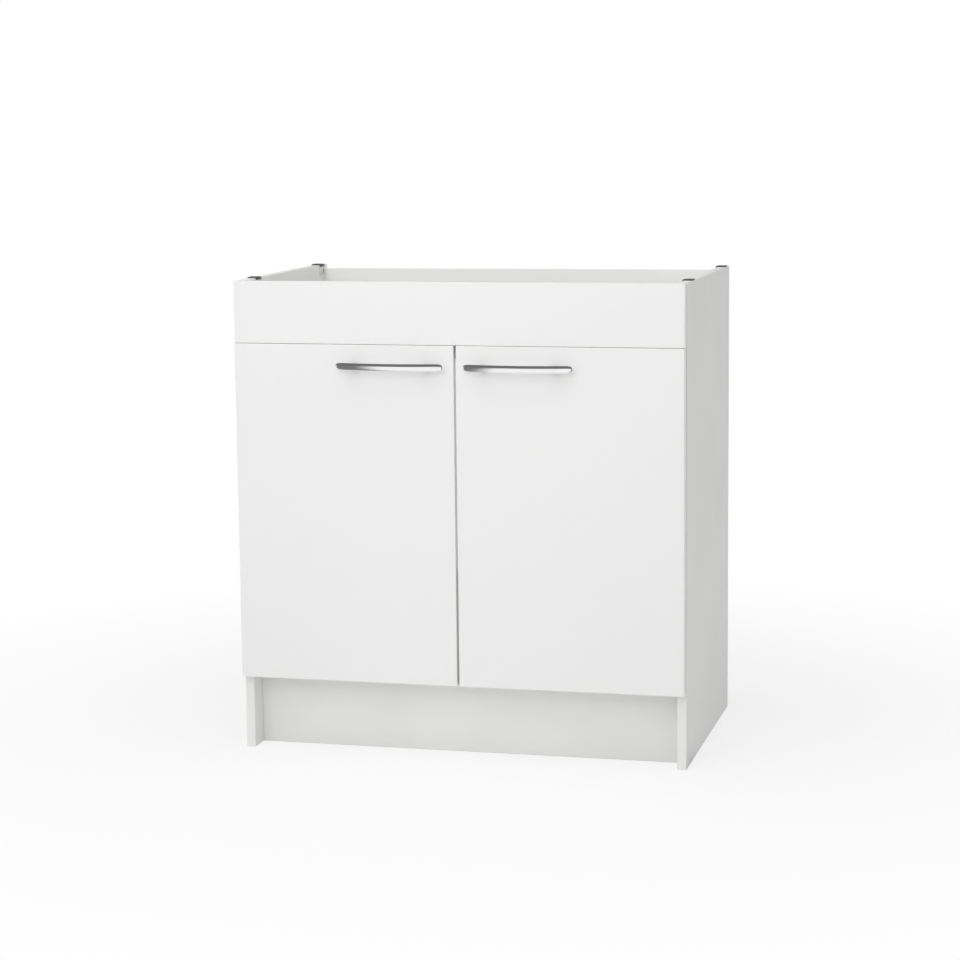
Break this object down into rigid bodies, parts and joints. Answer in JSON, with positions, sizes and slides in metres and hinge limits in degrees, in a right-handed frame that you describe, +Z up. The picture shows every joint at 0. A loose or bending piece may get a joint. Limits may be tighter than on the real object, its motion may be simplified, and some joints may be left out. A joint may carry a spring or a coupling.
{
  "type": "sink base cabinet",
  "caption": "White sink base cabinet with an open top, a fixed fascia over hinged slab doors with bow handles, and a recessed plinth.",
  "frame": {"origin": "on the floor, midway between the sides and midway between the front of the handles and the back", "axes": "+X to the right seen from the front, +Y to the back, +Z up; the doors face -Y"},
  "size_m": [0.8, 0.53, 0.842],
  "materials": {
    "board_white": "melamine-faced chipboard, satin white",
    "front_white": "smooth white front, soft gloss",
    "handle_chrome": "polished",
    "plated_steel": "nickel plated",
    "cam_zinc": "cast zinc, plain",
    "clip_dark": "dark grey plastic",
    "bracket_plastic": "off-white plastic",
    "buffer_clear": "translucent soft buffer"
  },
  "bodies": {
    "carcass": {"side_panel_left": "board_white", "side_panel_right": "board_white", "bottom_panel": "board_white", "front_rail": "board_white", "rear_rail_upper": "board_white", "rear_rail_lower": "board_white", "plinth_board": "board_white", "plinth_bracket_left": "bracket_plastic", "plinth_bracket_right": "bracket_plastic", "cam_lock_front_rail_left": "cam_zinc", "cam_lock_front_rail_right": "cam_zinc", "cam_lock_rear_rail_upper_left": "cam_zinc", "cam_lock_rear_rail_upper_right": "cam_zinc", "cam_lock_rear_rail_lower_left": "cam_zinc", "cam_lock_rear_rail_lower_right": "cam_zinc", "cam_lock_bottom_front_left": "cam_zinc", "cam_lock_bottom_front_right": "cam_zinc", "cam_lock_bottom_rear_left": "cam_zinc", "cam_lock_bottom_rear_right": "cam_zinc", "sink_clip_front_left": "clip_dark", "sink_clip_front_right": "clip_dark", "sink_clip_rear_left": "clip_dark", "sink_clip_rear_right": "clip_dark", "fascia": "front_white", "fascia_screw_lower_left": "plated_steel", "fascia_screw_lower_right": "plated_steel", "fascia_screw_upper_left": "plated_steel", "fascia_screw_upper_right": "plated_steel", "door_buffer_upper_left": "buffer_clear", "door_buffer_upper_right": "buffer_clear", "door_buffer_lower_left": "buffer_clear", "door_buffer_lower_right": "buffer_clear", "hinge_plate_lower_left": "plated_steel", "hinge_arm_lower_left": "plated_steel", "hinge_screw_lower_left": "plated_steel", "hinge_plate_upper_left": "plated_steel", "hinge_arm_upper_left": "plated_steel", "hinge_screw_upper_left": "plated_steel", "hinge_plate_lower_right": "plated_steel", "hinge_arm_lower_right": "plated_steel", "hinge_screw_lower_right": "plated_steel", "hinge_plate_upper_right": "plated_steel", "hinge_arm_upper_right": "plated_steel", "hinge_screw_upper_right": "plated_steel"},
    "door_left": {"door_left": "front_white", "handle_left": "handle_chrome", "handle_screw_inner_left": "plated_steel", "handle_screw_outer_left": "plated_steel", "hinge_cup_lower_left": "plated_steel", "hinge_pin_lower_left": "plated_steel", "hinge_cup_upper_left": "plated_steel", "hinge_pin_upper_left": "plated_steel"},
    "door_right": {"door_right": "front_white", "handle_right": "handle_chrome", "handle_screw_inner_right": "plated_steel", "handle_screw_outer_right": "plated_steel", "hinge_cup_lower_right": "plated_steel", "hinge_pin_lower_right": "plated_steel", "hinge_cup_upper_right": "plated_steel", "hinge_pin_upper_right": "plated_steel"}
  },
  "joints": [
    {"name": "door_left_hinge", "type": "hinge", "parent": "carcass", "child": "door_left", "pos_m": [-0.3914, -0.2278, 0.4315], "axis": [0, 0, -1], "range_deg": [0, 95]},
    {"name": "door_right_hinge", "type": "hinge", "parent": "carcass", "child": "door_right", "pos_m": [0.3914, -0.2278, 0.4315], "axis": [0, 0, 1], "range_deg": [0, 95]}
  ]
}
